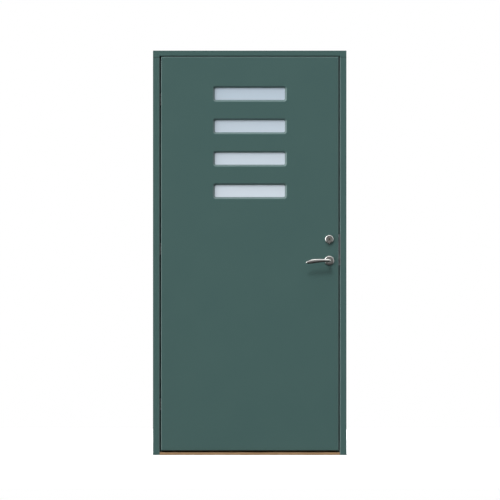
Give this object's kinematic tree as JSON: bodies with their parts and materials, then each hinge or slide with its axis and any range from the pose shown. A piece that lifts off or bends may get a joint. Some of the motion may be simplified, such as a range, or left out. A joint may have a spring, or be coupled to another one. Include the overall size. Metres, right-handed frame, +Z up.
{
  "type": "front door with frame",
  "caption": "Flush painted front door leaf with slot windows, hung on concealed hinges in its rebated frame with an oak threshold, lever handle and mortise lock.",
  "frame": {"origin": "middle of the frame's underside, at half its width and half its depth", "axes": "+X across the opening towards the lock side, +Y from outside to inside, +Z up"},
  "size_m": [0.995, 0.1738, 2.08],
  "materials": {
    "door_paint": "satin exterior paint on fibre board",
    "frame_paint": "satin exterior paint on pine",
    "oak": "oiled oak",
    "pine": "planed pine",
    "foam": "rigid insulating foam",
    "rubber": "matt extruded rubber",
    "spacer": "matt dark spacer bar",
    "glass": "clear float glass, frosted inside",
    "stainless": "satin stainless steel",
    "hinge_steel": "satin plated casting",
    "zinc": "bright zinc plating",
    "aluminium": "anodised aluminium",
    "brass": "nickel plated brass"
  },
  "bodies": {
    "frame": {"hinge_jamb": "frame_paint", "lock_jamb": "frame_paint", "head_jamb": "frame_paint", "threshold": "oak", "threshold_strip": "aluminium", "frame_seal": "rubber", "threshold_seal": "rubber", "strike_plate": "stainless", "strike_screws": "zinc", "fixing_sleeves": "zinc", "sleeve_caps": "frame_paint", "corner_screws": "zinc", "frame_cups": "hinge_steel", "frame_cup_screws": "zinc", "frame_cup_pins": "zinc"},
    "leaf": {"hinge_stile": "frame_paint", "lock_stile": "frame_paint", "top_rail": "frame_paint", "bottom_rail": "frame_paint", "glazing_tape": "rubber", "glass_spacers": "spacer", "lock_front": "stainless", "outer_rose": "stainless", "inner_rose": "stainless", "cylinder_ring": "stainless", "cylinder_body": "stainless", "thumbturn_ring": "stainless", "leaf_cups": "hinge_steel", "leaf_cup_screws": "zinc", "leaf_cup_pins": "zinc", "lock_case": "zinc", "lock_front_screws": "zinc", "through_bolts": "zinc", "outer_skin": "door_paint", "inner_skin": "door_paint", "outer_window_frame_1": "door_paint", "outer_window_frame_2": "door_paint", "outer_window_frame_3": "door_paint", "outer_window_frame_4": "door_paint", "inner_window_frame_1": "door_paint", "inner_window_frame_2": "door_paint", "inner_window_frame_3": "door_paint", "inner_window_frame_4": "door_paint", "window_block": "pine", "insulation_core": "foam", "panes_1": "glass", "panes_2": "glass", "panes_3": "glass", "panes_4": "glass"},
    "frame_arms": {"frame_arms": "hinge_steel"},
    "leaf_arms": {"leaf_arms": "hinge_steel"},
    "handle": {"outer_lever": "stainless", "inner_lever": "stainless", "handle_spindle": "zinc", "follower": "zinc"},
    "latch": {"latch_bolt": "zinc"},
    "bolt": {"dead_bolt": "zinc"},
    "thumbturn": {"thumbturn": "stainless", "bolt_cam": "zinc"},
    "plug": {"cylinder_plug": "brass"}
  },
  "joints": [
    {"name": "door_swing", "type": "hinge", "parent": "frame", "child": "leaf", "pos_m": [-0.45965, -0.061, 1], "axis": [0, 0, -1], "range_deg": [0, 100]},
    {"name": "frame_arm_turn", "type": "hinge", "parent": "frame", "child": "frame_arms", "pos_m": [-0.47215, -0.046, 1], "axis": [0, 0, -1], "range_deg": [0, 100]},
    {"name": "leaf_arm_turn", "type": "hinge", "parent": "leaf", "child": "leaf_arms", "pos_m": [-0.44715, -0.046, 1], "axis": [0, 0, 1], "range_deg": [0, 100]},
    {"name": "handle_turn", "type": "hinge", "parent": "leaf", "child": "handle", "pos_m": [0.4093, -0.0265, 1], "axis": [0, -1, 0], "range_deg": [0, 45], "stiffness_Nm_per_rad": 1.2, "springref_deg": -45.84},
    {"name": "latch_slide", "type": "slide", "parent": "leaf", "child": "latch", "axis": [-1, 0, 0], "range_m": [0, 0.0125]},
    {"name": "thumbturn_turn", "type": "hinge", "parent": "leaf", "child": "thumbturn", "pos_m": [0.4093, -0.0265, 1.11], "axis": [0, -1, 0], "range_deg": [0, 90]},
    {"name": "bolt_slide", "type": "slide", "parent": "leaf", "child": "bolt", "axis": [1, 0, 0], "range_m": [0, 0.02]},
    {"name": "plug_turn", "type": "hinge", "parent": "leaf", "child": "plug", "pos_m": [0.4093, -0.0265, 1.11], "axis": [0, -1, 0], "range_deg": [0, 90]}
  ],
  "couplings": [
    {"joint": "frame_arm_turn", "follows": "door_swing", "ratio": 1},
    {"joint": "leaf_arm_turn", "follows": "door_swing", "ratio": 1},
    {"joint": "latch_slide", "follows": "handle_turn", "m_per_rad": 0.015915},
    {"joint": "thumbturn_turn", "follows": "bolt_slide", "rad_per_m": 78.54}
  ]
}
